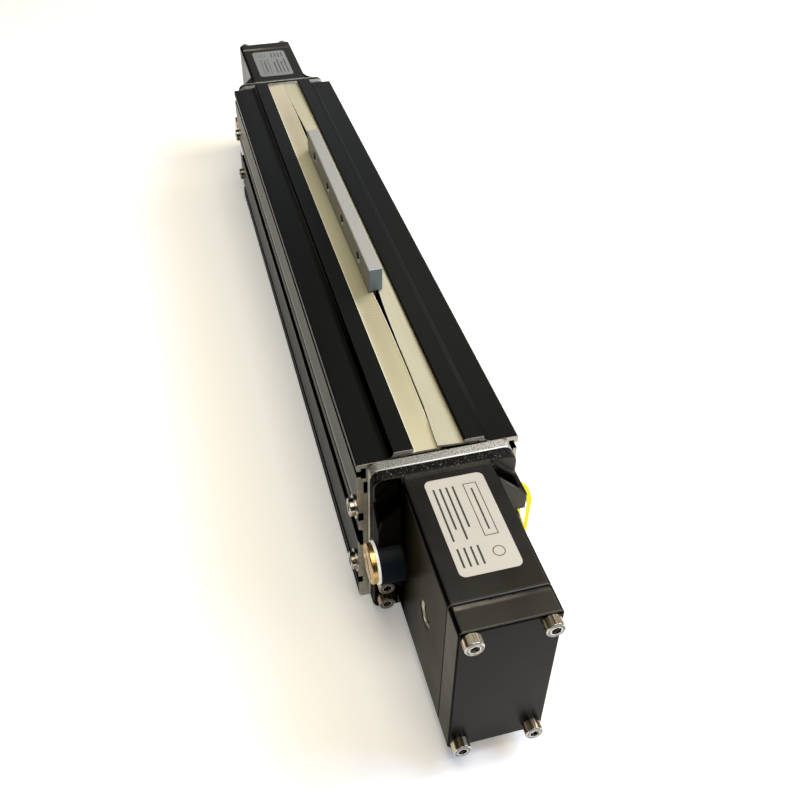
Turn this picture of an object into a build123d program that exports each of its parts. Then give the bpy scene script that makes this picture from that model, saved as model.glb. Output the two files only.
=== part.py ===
from build123d import *
import os
import math

os.makedirs("parts", exist_ok=True)

# ---------------------------------------------------------------- driving dimensions (mm)
# Frame: X along the stroke, near end = +X, Z up, origin under the middle of the barrel.
L = 430.0            # barrel length
W = 80.0             # barrel width
H = 100.0            # barrel height to the outer flats
RAISE = 4.2          # raised strips over the flats
BORE_R = 25.0        # 50 mm bore
BORE_Z = 47.25       # bore axis height
SLOT_Y = 5.2         # half width of the long slot
SEAT_Y = 8.2         # half width of the inner band seat
SEAT_Z = 72.25       # ceiling of the inner band seat
GASKET_T = 0.7
PLATE_T = 5.2
FLANGE_T = 5.8
HEAD_X1 = 296.9      # joint face of the head
HEAD_Y = 22.4
HEAD_Z0, HEAD_Z1 = 10.7, 100.0
COVER_T = 13.6
CGASKET_T = 0.7
BLADE_X0, BLADE_X1 = -83.0, 95.0
BLADE_Y = 4.0
BLADE_Z0, BLADE_Z1 = 108.6, 123.4
BLADE_HOLES = (-57.0, -15.0, 27.0, 69.0)
BLADE_HOLE_Z = 115.5
BLADE_HOLE_R = 2.75
NECK_Y = 2.6         # lower neck in the slot
WEB_Y = 1.25         # thin upper neck between the lips
PORT_R = 5.9         # wall of the G1/4 ports
PORT_X, PORT_Z = 271.3, 56.6
BOSS_X, BOSS_R, BOSS_Y = 234.0, 11.0, 35.4
BOSS_Z = {-1: 51.5, 1: 57.3}          # the near head's two side ports differ in height
SIDE_X = 211.4       # side screws
SIDE_Z = {-1: (68.0, 26.5), 1: (62.5, 26.0)}
SPOT = {-1: 0.0, 1: 1.0}             # depth of the spot faces under them
FLANGE_SCREWS = ((29.2, 26.0), (29.2, 13.2))
PAD_T = 0.8
COVER_SCREWS = ((17.0, 95.2), (17.0, 15.2))
STEM_X0, STEM_X1 = -38.0, 50.0       # lower neck and foot
YOKE_X0, YOKE_X1 = -64.0, 76.0
PISTON_L = 36.0
SPEAR_L = 18.0
PLUG_X0 = 184.0      # inner face of the end plug

XE = L / 2
XG = XE + GASKET_T           # plate back
XP = XG + PLATE_T            # flange back
XF = XP + FLANGE_T           # flange front
XC0 = HEAD_X1 + CGASKET_T    # cover back
XC1 = XC0 + COVER_T          # cover front


# ---------------------------------------------------------------- helpers
def bx(x0, x1, y0, y1, z0, z1):
    return Pos((x0 + x1) / 2, (y0 + y1) / 2, (z0 + z1) / 2) * Box(x1 - x0, y1 - y0, z1 - z0)


def cx(x0, x1, y, z, r):
    return Pos((x0 + x1) / 2, y, z) * Rot(0, 90, 0) * Cylinder(r, abs(x1 - x0))


def cy(y0, y1, x, z, r):
    return Pos(x, (y0 + y1) / 2, z) * Rot(90, 0, 0) * Cylinder(r, abs(y1 - y0))


def cz(z0, z1, x, y, r):
    return Pos(x, y, (z0 + z1) / 2) * Cylinder(r, z1 - z0)


def prism_x(pts, x0, x1):
    """Polygon of (y, z) points run along X."""
    f = make_face(Polyline(*[(x0, y, z) for y, z in pts], close=True).edges())
    return extrude(f, amount=x1 - x0, dir=(1, 0, 0))


def prism_y(pts, y0, y1):
    """Polygon of (x, z) points run along Y."""
    f = make_face(Polyline(*[(x, y0, z) for x, z in pts], close=True).edges())
    return extrude(f, amount=y1 - y0, dir=(0, 1, 0))


def rounded_x(x0, x1, yh, z0, z1, r):
    """Rectangular plate across X with rounded corners."""
    f = Plane.YZ * Pos(0, (z0 + z1) / 2) * RectangleRounded(2 * yh, z1 - z0, r)
    return Pos(x0, 0, 0) * extrude(f, amount=x1 - x0, dir=(1, 0, 0))


def cap_screw(head_r, head_h, shank_r, length, hexf, depth):
    """Socket screw along +Z, seat of the head at z = 0."""
    s = Pos(0, 0, head_h / 2) * Cylinder(head_r, head_h)
    s = chamfer(s.edges().group_by(Axis.Z)[-1], 0.45)
    s = s + Pos(0, 0, -length / 2) * Cylinder(shank_r, length)
    return s - extrude(Pos(0, 0, head_h - depth) * RegularPolygon(hexf / 2, 6, major_radius=False), amount=depth)


def solids(items):
    out = []
    for it in items:
        out.extend(it.solids())
    return Compound(out)


def save(shape, name):
    ss = shape.solids()
    export_step(ss[0] if len(ss) == 1 else Compound(list(ss)), f"parts/{name}.step")
    print(name, len(ss), round(sum(s.volume for s in ss), 1), shape.is_valid)


def both(shape, name):
    """The far head group is the near one turned half a turn about Z."""
    save(shape, name + "_near")
    save(Rot(0, 0, 180) * shape, name + "_far")


# ---------------------------------------------------------------- barrel profile
side = [(37.0, 0.0), (38.6, 0.35), (39.65, 1.4), (40.0, 3.0),
        (40.0, 11.5), (37.7, 11.5), (37.7, 16.6), (40.0, 16.6),
        (40.0, 46.0), (38.6, 41.9), (37.2, 41.9), (37.2, 53.3), (39.4, 53.9), (39.4, 60.6),
        (36.8, 60.6), (36.8, 66.3), (40.0, 66.3),
        (40.0, 91.9), (38.0, 91.9), (38.0, 90.5), (35.4, 90.5), (35.4, 97.6), (38.0, 97.6), (38.0, 95.9),
        (40.0, 95.9), (40.0, 99.4), (39.4, 100.0),
        (26.4, 100.0)] + [(26.4 - 4.2 * math.sin(math.radians(a)), 104.2 - 4.2 * math.cos(math.radians(a)))
                          for a in (12, 24, 36, 48, 60, 72, 82)] + [
        (22.15, 104.2),
        (12.8, 104.2), (12.4, 103.8), (12.4, 102.7), (20.0, 101.7), (20.0, 99.6)]
outline = side + [(-y, z) for y, z in reversed(side)]
barrel = prism_x(outline, -XE, XE)
barrel -= bx(-XE, XE, -SLOT_Y, SLOT_Y, 60, H)
barrel -= bx(-XE, XE, -SEAT_Y, SEAT_Y, 60, SEAT_Z)
barrel -= cx(-XE - 1, XE + 1, 0, BORE_Z, BORE_R)
for s in (1, -1):
    cav = bx(-XE, XE, min(s * 30.5, s * 36.8), max(s * 30.5, s * 36.8), 80.3, 88.2)
    barrel -= cav
    for e in (1, -1):
        side_of_head = s * e
        for z in SIDE_Z[side_of_head]:
            barrel -= cy(s * (32.6 - SPOT[side_of_head]), s * 41, e * SIDE_X, z, 2.55)
            if SPOT[side_of_head]:
                barrel -= cy(s * (W / 2 - SPOT[side_of_head]), s * 41, e * SIDE_X, z, 6.15)
        for y, z in FLANGE_SCREWS:
            barrel -= cx(e * (XE - 22), e * (XE + 1), s * y, z, 2.55)
save(barrel, "barrel")

# ---------------------------------------------------------------- end gasket, plate
gasket = rounded_x(XE, XG, 34.4, 3.8, 99.6, 4.5) - cx(XE - 1, XG + 1, 0, BORE_Z, 12.0)
plate = rounded_x(XG, XP, 35.0, 3.2, 100.7, 5.0)
plate = chamfer(plate.edges().filter_by(GeomType.LINE).group_by(Axis.X)[-1], 0.4)
plate -= cx(XG - 1, XP + 1, 0, BORE_Z, 11.0)
for s in (1, -1):
    for y, z in FLANGE_SCREWS:
        gasket -= cx(XE - 1, XG + 1, s * y, z, 2.7)
        plate -= cx(XG - 1, XP + 1, s * y, z, 2.7)
both(gasket, "end_gasket")
both(plate, "end_plate")

# ---------------------------------------------------------------- head casting
flange = rounded_x(XP, XF, 35.2, 3.0, 100.4, 5.5)
flange = fillet(flange.faces().sort_by(Axis.X)[-1].edges(), 1.2)
body = bx(XF - 2, HEAD_X1, -HEAD_Y, HEAD_Y, HEAD_Z0, HEAD_Z1)
body = fillet(body.edges().filter_by(Axis.X), 2.2)
# root fillets between the flange and the body sides
root = 3.0
for s in (1, -1):
    w = bx(XF - 0.5, XF + root, min(s * (HEAD_Y - 1), s * (HEAD_Y + root)), max(s * (HEAD_Y - 1), s * (HEAD_Y + root)),
           HEAD_Z0 + 3, 96.0)
    w -= cz(0, 120, XF + root, s * (HEAD_Y + root), root)
    body += w
ramp = prism_y([(XF - 0.6, HEAD_Z1 - 2), (XF - 0.6, HEAD_Z1 + 0.3), (XF + 2.2, HEAD_Z1 - 0.02), (XF + 2.2, HEAD_Z1 - 2)],
               -HEAD_Y + 2.2, HEAD_Y - 2.2)
head = flange + body + ramp
for s in (1, -1):
    boss = cy(s * (HEAD_Y - 2), s * BOSS_Y, BOSS_X, BOSS_Z[s], BOSS_R)
    boss -= bx(BOSS_X - 30, XP, -60, 60, 0, 120)
    low = prism_x([(s * (HEAD_Y - 1), 33.0), (s * (HEAD_Y - 1), 51.5), (s * 30.0, 51.5), (s * 30.0, 41.0)], 236.0, 239.0)
    # slim brace from the top corner of the body to the edge of the flange
    brace = prism_x([(s * 21.5, 98.6), (s * 22.3, 99.9), (s * 23.6, 99.9), (s * 34.2, 89.2), (s * 34.2, 87.6), (s * 33.6, 87.4)],
                    XF - 1, XF + 1.6)
    pad = None
    for y, z in FLANGE_SCREWS:
        disc = cx(XF - 1, XF + PAD_T, s * y, z, 5.5)
        pad = disc if pad is None else pad + disc
    head += boss
    head += low
    head += brace
    head += pad
# the pocket walls differ on the two sides
web = prism_x([(-(HEAD_Y - 1), 89.8), (-33.0, 79.4), (-34.6, 74.0), (-34.6, 51.5), (-(HEAD_Y - 1), 51.5)], 232.6, 235.0)
wall = extrude(make_face(Polyline((XF - 1, -35.1, 50), (XF - 1, -34.2, 50), (235.0, -32.4, 50), (235.0, -34.6, 50),
                                  close=True).edges()), amount=45, dir=(0, 0, 1))
wall -= prism_y([(XF - 2, 89.6), (235.5, 71.2), (240.0, 71.2), (240.0, 100.0), (XF - 2, 100.0)], -40, -30)
head += web
head += wall
web = prism_x([(HEAD_Y - 1, 97.0), (37.6, 81.0), (38.4, 79.8), (38.4, 71.2), (36.5, 71.0), (HEAD_Y - 1, 71.0)], 232.6, 235.0)
wall = extrude(make_face(Polyline((XF - 1, 34.8, 60), (XF - 1, 32.8, 60), (235.0, 36.2, 60), (235.0, 38.4, 60),
                                  close=True).edges()), amount=45, dir=(0, 0, 1))
wall -= prism_y([(XF - 2, 90.0), (235.5, 80.6), (240.0, 80.6), (240.0, 120.0), (XF - 2, 120.0)], 30, 42)
wall -= bx(XF, 240, 30, 42, 50, 71)
shelf = prism_x([(31.0, 71.0), (36.5, 71.0), (36.5, 79.0)], XF - 1, 234.0)
head += web
head += wall
head += shelf
# cavities
head -= bx(228.5, HEAD_X1 + 1, -11.0, 11.0, 22.0, 88.0)
head -= cx(XP - 1, 229.0, 0, BORE_Z, 10.5)
for s in (1, -1):
    head -= cy(s * 10.0, s * (BOSS_Y + 1), BOSS_X, BOSS_Z[s], PORT_R)
    for y, z in FLANGE_SCREWS:
        head -= cx(XP - 1, XF + 3, s * y, z, 2.7)
        head -= cx(XF + PAD_T, XF + 9, s * y, z, 4.7)
    for y, z in COVER_SCREWS:
        head -= cx(HEAD_X1 - 17, HEAD_X1 + 1, s * y, z, 2.55)
head -= cy(-10.0, -(HEAD_Y + 1), PORT_X, PORT_Z, PORT_R)
head -= Pos(PORT_X, -HEAD_Y + 0.55, PORT_Z) * Rot(90, 0, 0) * Cone(PORT_R, PORT_R + 1.1, 1.1)
save(head, "head_near")
# the far head has the same casting turned half a turn, with broader roots at the top of its flange
far = Rot(0, 0, 180) * head
gusset = extrude(make_face(Polyline((-XF + 0.5, -HEAD_Y + 2.4, 92), (-XF + 0.5, -29.4, 92), (-XF, -29.4, 92), (-239.6, -HEAD_Y, 92),
                                    (-239.6, -HEAD_Y + 2.4, 92), close=True).edges()), amount=7.9, dir=(0, 0, 1))
far += gusset
gusset = bx(-XF - 9.0, -XF + 0.5, HEAD_Y - 2.4, HEAD_Y + 6.0, 92, 99.9)
gusset -= Pos(-XF - 9.0, HEAD_Y + 9.0, 96) * Cylinder(9.0, 20)
far += gusset
save(far, "head_far")

# ---------------------------------------------------------------- head cover with its gasket
cgasket = rounded_x(HEAD_X1, XC0, HEAD_Y - 0.25, HEAD_Z0 + 0.25, HEAD_Z1 - 0.25, 2.2)
cgasket -= bx(HEAD_X1 - 1, XC0 + 1, -11.0, 11.0, 22.0, 88.0)
cover = bx(XC0, XC1, -HEAD_Y, HEAD_Y, HEAD_Z0, HEAD_Z1)
cover = fillet(cover.edges().filter_by(Axis.X), 2.2)
cover = chamfer(cover.faces().sort_by(Axis.X)[0].edges(), 0.35)
cover = chamfer(cover.faces().sort_by(Axis.X)[-1].edges(), 0.7)
cover -= prism_y([(XC0 - 1, HEAD_Z1 - 2.0), (XC0 + 0.3, HEAD_Z1 - 1.15), (XC0 + 1.0, HEAD_Z1 - 0.45), (XC0 + 2.0, HEAD_Z1),
                  (XC0 + 2.0, HEAD_Z1 + 1), (XC0 - 1, HEAD_Z1 + 1)], -HEAD_Y - 1, HEAD_Y + 1)
for y in (-4.4, 5.4):
    cover -= bx(XC0 - 1, XC0 + 1.0, y - 0.7, y + 0.7, HEAD_Z1 - 3.0, HEAD_Z1 + 1)
for s in (1, -1):
    for y, z in COVER_SCREWS:
        cgasket -= cx(HEAD_X1 - 1, XC0 + 1, s * y, z, 2.7)
        cover -= cx(XC0 - 1, XC1 + 1, s * y, z, 2.7)
both(cgasket, "cover_gasket")
both(cover, "cover")

# ---------------------------------------------------------------- fasteners
base = cap_screw(4.25, 5.0, 2.5, 25.0, 4.0, 2.6)
cs = [Pos(XC1, s * y, z) * Rot(0, 90, 0) * base for s in (1, -1) for y, z in COVER_SCREWS]
both(solids(cs), "cover_screws")

base = cap_screw(4.25, 5.0, 2.5, XF + PAD_T - XE + 18.0, 4.0, 2.6)
fs = [Pos(XF + PAD_T, s * y, z) * Rot(0, 90, 0) * base for s in (1, -1) for y, z in FLANGE_SCREWS]
both(solids(fs), "flange_screws")

WASHER_T = 1.0
base = cap_screw(4.6, 2.7, 2.5, 8.0, 4.0, 1.6)
ss, ws = [], []
for s in (1, -1):
    seat = W / 2 - SPOT[s]
    for z in SIDE_Z[s]:
        ss.append(Pos(SIDE_X, s * (seat + WASHER_T), z) * Rot(-90 * s, 0, 0) * base)
        ws.append(cy(s * seat, s * (seat + WASHER_T), SIDE_X, z, 6.0) - cy(s * (seat - 1), s * (seat + 2), SIDE_X, z, 2.65))
both(solids(ss), "side_screws")
both(solids(ws), "side_washers")

# ---------------------------------------------------------------- port plug, seal ring, shipping plug
def port_ring(z):
    return cy(-BOSS_Y, -(BOSS_Y + 1.35), BOSS_X, z, 10.6) - cy(-BOSS_Y + 1, -(BOSS_Y + 2), BOSS_X, z, 6.1)


def port_plug(z):
    p = cy(-(BOSS_Y + 1.35), -(BOSS_Y + 4.25), BOSS_X, z, 10.0)
    p = chamfer(p.edges().group_by(Axis.Y)[0], 0.5)
    p += cy(-(BOSS_Y - 10.0), -(BOSS_Y + 1.35), BOSS_X, z, 5.85)
    slot = bx(-7.5, 7.5, -(BOSS_Y + 6), -(BOSS_Y + 2.35), -0.9, 0.9)
    return p - Pos(BOSS_X, 0, z) * Rot(0, 38, 0) * slot


def port_cap(z):
    tag = cy(BOSS_Y - 9.0, BOSS_Y, BOSS_X, z, 5.8)
    tag += cy(BOSS_Y, BOSS_Y + 1.3, BOSS_X, z, 9.0)
    # pull loop: flat band that leans towards the barrel
    loop_pts = [(243.0, 35.6), (240.4, 37.6), (236.0, 40.6), (229.8, 44.0), (222.8, 47.9), (219.9, 49.9), (213.2, 50.9),
                (209.6, 50.5), (207.4, 48.6), (208.6, 46.0), (214.0, 43.4), (219.5, 41.6), (224.0, 39.6), (227.0, 37.2),
                (228.0, 35.6)]
    inner = [(238.6, 36.3), (236.6, 37.8), (232.8, 40.3), (227.0, 43.4), (221.1, 46.5), (218.6, 47.4), (213.4, 48.3),
             (210.4, 48.2), (210.2, 47.3), (215.4, 45.2), (221.2, 43.2), (226.0, 41.0), (229.6, 38.0), (230.6, 36.3)]
    lf = make_face(Polyline(*[(x, y, 0) for x, y in loop_pts], close=True).edges())
    li = make_face(Polyline(*[(x, y, 0) for x, y in inner], close=True).edges())
    loop = extrude(lf, amount=2.4, dir=(0, 0, 1)) - extrude(li, amount=2.4, dir=(0, 0, 1))
    return tag + Pos(0, 0, z - 2.6) * loop


# the plugs close the two ports on the left side, the shipping caps the two on the right
save(port_ring(BOSS_Z[-1]), "port_ring_near")
save(Pos(-2 * BOSS_X, 0, 0) * port_ring(BOSS_Z[1]), "port_ring_far")
save(port_plug(BOSS_Z[-1]), "port_plug_near")
save(Pos(-2 * BOSS_X, 0, 0) * port_plug(BOSS_Z[1]), "port_plug_far")
save(port_cap(BOSS_Z[1]), "port_cap_near")
turned = Pos(-BOSS_X, 0, BOSS_Z[-1]) * Rot(0, 180, 0) * Pos(-BOSS_X, 0, -BOSS_Z[-1]) * port_cap(BOSS_Z[-1])
save(turned, "port_cap_far")

# ---------------------------------------------------------------- labels
def label(x0, x1, y0, y1):
    f = Pos((x0 + x1) / 2, (y0 + y1) / 2, HEAD_Z1) * RectangleRounded(x1 - x0, y1 - y0, 3.0)
    return extrude(f, amount=0.2)
save(label(232.5, 286.5, -13.2, 14.8), "label_near")
save(label(-291.0, -237.0, -14.4, 13.8), "label_far")

# ---------------------------------------------------------------- end plug inside the bore
ep = cx(PLUG_X0, XE, 0, BORE_Z, BORE_R - 0.08)
ep = chamfer(ep.edges().group_by(Axis.X)[0], 0.8)
ep -= bx(PLUG_X0 - 1, XE + 1, -8.6, 8.6, 71.6, 80)
ep -= cx(PLUG_X0 - 1, XE + 1, 0, BORE_Z, 10.0)
ep -= cx(PLUG_X0 + 2.5, PLUG_X0 + 6.5, 0, BORE_Z, 12.0)
og = cx(195.0, 199.0, 0, BORE_Z, BORE_R + 2) - cx(194.0, 200.0, 0, BORE_Z, 22.9)
ep -= og
both(ep, "end_plug")
oring = cx(195.1, 198.9, 0, BORE_Z, BORE_R - 0.04) - cx(195, 199, 0, BORE_Z, 22.94)
oring -= bx(190, 200, -8.6, 8.6, 71.6, 80)
both(oring, "end_oring")
cseal = cx(PLUG_X0 + 2.6, PLUG_X0 + 6.4, 0, BORE_Z, 11.95) - cx(PLUG_X0 + 2, PLUG_X0 + 7, 0, BORE_Z, 9.2)
both(cseal, "cushion_seal")

# band clamp in the slot
clamp = bx(199.0, XE, -SLOT_Y + 0.1, SLOT_Y - 0.1, 72.4, 98.6) - cz(72, 99, 207.0, 0, 2.05)
both(clamp, "band_clamp")
gs = cz(72.5, 84.5, 207.0, 0, 2.0)
gs -= extrude(Pos(207.0, 0, 82.5) * RegularPolygon(1.0, 6, major_radius=False), amount=2.0)
both(gs, "clamp_screw")

# ---------------------------------------------------------------- sealing bands
T = 0.35
BX = XE - 3.0
path = [(-BX, 71.9), (-64.5, 71.9), (-61.0, 71.3), (-57.0, 69.7), (-48.0, 65.4), (-44.5, 64.2), (-41.0, 63.8),
        (53.0, 63.8), (56.5, 64.2), (60.0, 65.4), (69.0, 69.7), (73.0, 71.3), (76.5, 71.9), (BX, 71.9)]
band = prism_y([(x, z - T / 2) for x, z in path] + [(x, z + T / 2) for x, z in reversed(path)], -7.8, 7.8)
save(band, "inner_band")

# lips: stations (x, edge y left, edge z left, edge y right, edge z right); the edges rise to the blade's neck,
# y counts outward from the middle and is negative where a lip crosses it
LIP_END = [(214.4, -0.9, 101.4, -0.6, 102.95), (201.0, -0.3, 102.4, -0.3, 103.75), (195.0, 0.14, 103.3, 0.14, 104.1),
           (170.0, 0.14, 105.2, 0.14, 105.2), (138.0, 0.28, 106.5, 0.28, 106.5), (118.0, 0.6, 107.2, 0.6, 107.2),
           (100.0, 1.2, 107.9, 1.2, 107.9), (95.5, 1.5, 108.2, 1.5, 108.2)]
FAR_END = [(-83.5, 1.5, 108.2, 1.5, 108.2), (-88.0, 1.2, 107.9, 1.2, 107.9), (-107.0, 0.65, 107.5, 0.65, 107.5),
           (-128.0, 0.3, 107.0, 0.3, 107.0), (-150.0, 0.1, 105.8, 0.1, 105.8), (-185.0, 0.05, 103.6, 0.05, 103.6),
           (-214.4, 0.05, 102.1, 0.05, 102.1)]


def lip_section(side, yi, zi):
    zb = 101.45 + 0.12 * (zi - 101.4) + (0.25 if side > 0 and zi < 104 else 0.0)
    top = [(-19.4, 101.0), (-12.9, zb), (-(12.9 + yi) / 2, zb + 0.52 * (zi - zb)), (-yi, zi)]
    t = [1.1, 1.15, 1.2, 1.15]
    pts = top + [(y, z - d) for (y, z), d in reversed(list(zip(top, t)))]
    return [(-side * y, z) for y, z in pts]


def lip(side):
    k = 1 if side < 0 else 3
    st = sorted([(q[0], q[k], q[k + 1]) for q in LIP_END + FAR_END])
    out = None
    for (xa, ya, za), (xb, yb, zb) in zip(st, st[1:]):
        fa = make_face(Polyline(*[(xa, y, z) for y, z in lip_section(side, ya, za)], close=True).edges())
        fb = make_face(Polyline(*[(xb, y, z) for y, z in lip_section(side, yb, zb)], close=True).edges())
        seg = loft([fa, fb], ruled=True)
        out = seg if out is None else out + seg
    return out
save(lip(-1), "lip_left")
save(lip(1), "lip_right")

# ---------------------------------------------------------------- carriage: blade, yoke, pistons
blade = bx(BLADE_X0, BLADE_X1, -BLADE_Y, BLADE_Y, BLADE_Z0, BLADE_Z1)
blade = chamfer(blade.edges(), 0.4)
for x in BLADE_HOLES:
    blade -= cy(-6, 6, x, BLADE_HOLE_Z, BLADE_HOLE_R)
    for s in (1, -1):
        blade -= Pos(x, s * (BLADE_Y - 0.4), BLADE_HOLE_Z) * Rot(-90 * s, 0, 0) * Cone(BLADE_HOLE_R, BLADE_HOLE_R + 0.8, 0.8)
# thin upper neck, pointed at both ends to part the lips
prow = [(BLADE_X0 + 1.0, 0.5), (BLADE_X0 + 16.0, WEB_Y), (BLADE_X1 - 16.0, WEB_Y), (BLADE_X1 - 1.0, 0.5)]
prow += [(x, -y) for x, y in reversed(prow)]
blade += extrude(make_face(Polyline(*[(x, y, 95.0) for x, y in prow], close=True).edges()), amount=BLADE_Z0 + 1 - 95.0, dir=(0, 0, 1))
blade += bx(STEM_X0, STEM_X1, -NECK_Y, NECK_Y, 71.0, 96.0)
blade += bx(STEM_X0, STEM_X1, -7.9, 7.9, 65.2, 71.4)
PIN_X = (-28.0, 6.0, 40.0)
for x in PIN_X:
    blade -= cy(-9, 9, x, 67.6, 2.03)
save(blade, "blade")
guides = [bx(STEM_X0 + 2, STEM_X1 - 2, *sorted((s * (NECK_Y + 0.03), s * (SLOT_Y - 0.06))), 76.0, 94.0) for s in (1, -1)]
save(solids(guides), "neck_guides")

yoke = cx(YOKE_X0, YOKE_X1, 0, BORE_Z, 24.3)
yoke -= bx(YOKE_X0 - 1, YOKE_X1 + 1, -8.15, 8.15, 62.6, 80)
for x in PIN_X:
    yoke -= cy(-20, 20, x, 67.6, 2.03)
yc = (YOKE_X0 + YOKE_X1) / 2
yoke -= cx(YOKE_X0 - 1, YOKE_X0 + 22, 0, BORE_Z, 4.05)
yoke -= cx(YOKE_X1 - 22, YOKE_X1 + 1, 0, BORE_Z, 4.05)
for s in (1, -1):
    yoke -= cx(YOKE_X1 - 15, YOKE_X1 + 1, s * 17.0, BORE_Z, 3.05)
    yoke -= cx(YOKE_X0 - 1, YOKE_X0 + 15, s * 17.0, BORE_Z, 3.05)
save(yoke, "yoke")
save(solids([cy(-10.8, 10.8, x, 67.6, 2.0) for x in PIN_X]), "yoke_pins")
mags = []
for s in (1, -1):
    mags.append(cx(YOKE_X1 - 14.9, YOKE_X1 - 0.1, s * 17.0, BORE_Z, 3.0))
    mags.append(cx(YOKE_X0 + 0.1, YOKE_X0 + 14.9, s * 17.0, BORE_Z, 3.0))
save(solids(mags), "magnets")


def piston_group(sign, x_in):
    """x_in = face against the yoke."""
    def X(a, b):
        return sorted((x_in + sign * a, x_in + sign * b))
    p = cx(*X(0, PISTON_L), 0, BORE_Z, 24.3)
    p -= cx(*X(22, 28), 0, BORE_Z, 30) - cx(*X(21, 29), 0, BORE_Z, 20.0)
    p -= cx(*X(4, 16), 0, BORE_Z, 30) - cx(*X(3, 17), 0, BORE_Z, 23.0)
    p += cx(*X(PISTON_L - 1, PISTON_L + SPEAR_L), 0, BORE_Z, 9.0)
    p -= cx(*X(-1, PISTON_L + SPEAR_L + 1), 0, BORE_Z, 4.05)
    p -= cx(*X(PISTON_L + SPEAR_L - 8, PISTON_L + SPEAR_L + 1), 0, BORE_Z, 6.8)
    flat = bx(x_in - 60, x_in + 60, -8.4, 8.4, 71.6, 80)
    seal = cx(*X(22.1, 27.9), 0, BORE_Z, 24.93) - cx(*X(22, 28), 0, BORE_Z, 20.05) - flat
    wear = cx(*X(4.1, 15.9), 0, BORE_Z, 24.9) - cx(*X(4, 16), 0, BORE_Z, 23.04) - flat
    bump = cx(*X(PISTON_L, PISTON_L + 2.4), 0, BORE_Z, 16.0) - cx(*X(PISTON_L - 1, PISTON_L + 4), 0, BORE_Z, 9.05)
    b = cap_screw(6.6, 7.0, 4.0, PISTON_L + SPEAR_L - 8 + 20.0, 6.0, 4.0)
    b = Pos(x_in + sign * (PISTON_L + SPEAR_L - 8), 0, BORE_Z) * Rot(0, 90 * sign, 0) * b
    n = "near" if sign > 0 else "far"
    save(p, "piston_" + n)
    save(seal, "piston_seal_" + n)
    save(wear, "piston_ring_" + n)
    save(bump, "piston_bumper_" + n)
    save(b, "piston_bolt_" + n)


piston_group(1, YOKE_X1)
piston_group(-1, YOKE_X0)
print("total", len(os.listdir("parts")))
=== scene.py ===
import bpy
import math
import random
from mathutils import Matrix, Vector


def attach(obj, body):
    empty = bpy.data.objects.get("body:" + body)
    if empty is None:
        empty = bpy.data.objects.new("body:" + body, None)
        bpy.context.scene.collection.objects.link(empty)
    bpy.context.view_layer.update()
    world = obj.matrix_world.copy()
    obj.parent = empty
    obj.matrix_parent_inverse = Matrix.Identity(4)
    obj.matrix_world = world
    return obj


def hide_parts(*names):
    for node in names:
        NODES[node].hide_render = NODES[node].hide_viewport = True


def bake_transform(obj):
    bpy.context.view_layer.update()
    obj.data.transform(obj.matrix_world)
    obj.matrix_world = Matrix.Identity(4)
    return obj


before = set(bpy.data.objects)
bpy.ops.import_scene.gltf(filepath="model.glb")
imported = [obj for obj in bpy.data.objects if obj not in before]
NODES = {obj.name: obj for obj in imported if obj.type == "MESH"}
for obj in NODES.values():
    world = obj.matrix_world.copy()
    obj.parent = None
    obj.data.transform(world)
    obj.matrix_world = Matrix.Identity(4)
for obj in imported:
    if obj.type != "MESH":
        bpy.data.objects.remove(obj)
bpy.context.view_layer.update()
S = 0.001


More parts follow.
